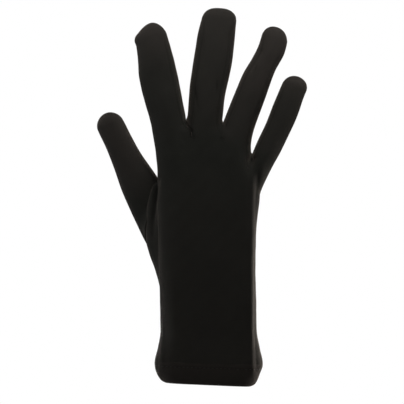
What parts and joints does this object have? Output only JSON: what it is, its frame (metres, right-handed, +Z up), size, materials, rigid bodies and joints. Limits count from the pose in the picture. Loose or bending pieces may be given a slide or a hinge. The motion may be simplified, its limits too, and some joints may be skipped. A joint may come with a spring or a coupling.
{
  "type": "knit glove",
  "caption": "Thin black knitted dress glove for the right hand: an open wrist with a turned-up hem, a straight hand, spread fingers with forked side strips, and a set-in thumb",
  "frame": {"origin": "middle of the wrist opening, where the hand goes in", "axes": "+Z runs up along the fingers, +X to the little-finger side, and the back of the hand faces -Y"},
  "size_m": [0.1387, 0.0411, 0.25],
  "materials": {
    "knit": "matt fine jersey knit",
    "hem_knit": "matt fine jersey knit, turned up double"
  },
  "bodies": {
    "root": {"back_panel": "knit", "palm_panel": "knit", "thumb_piece": "knit", "fork_index_middle": "knit", "fork_middle_ring": "knit", "fork_ring_little": "knit", "cuff_hem": "hem_knit"}
  },
  "joints": []
}
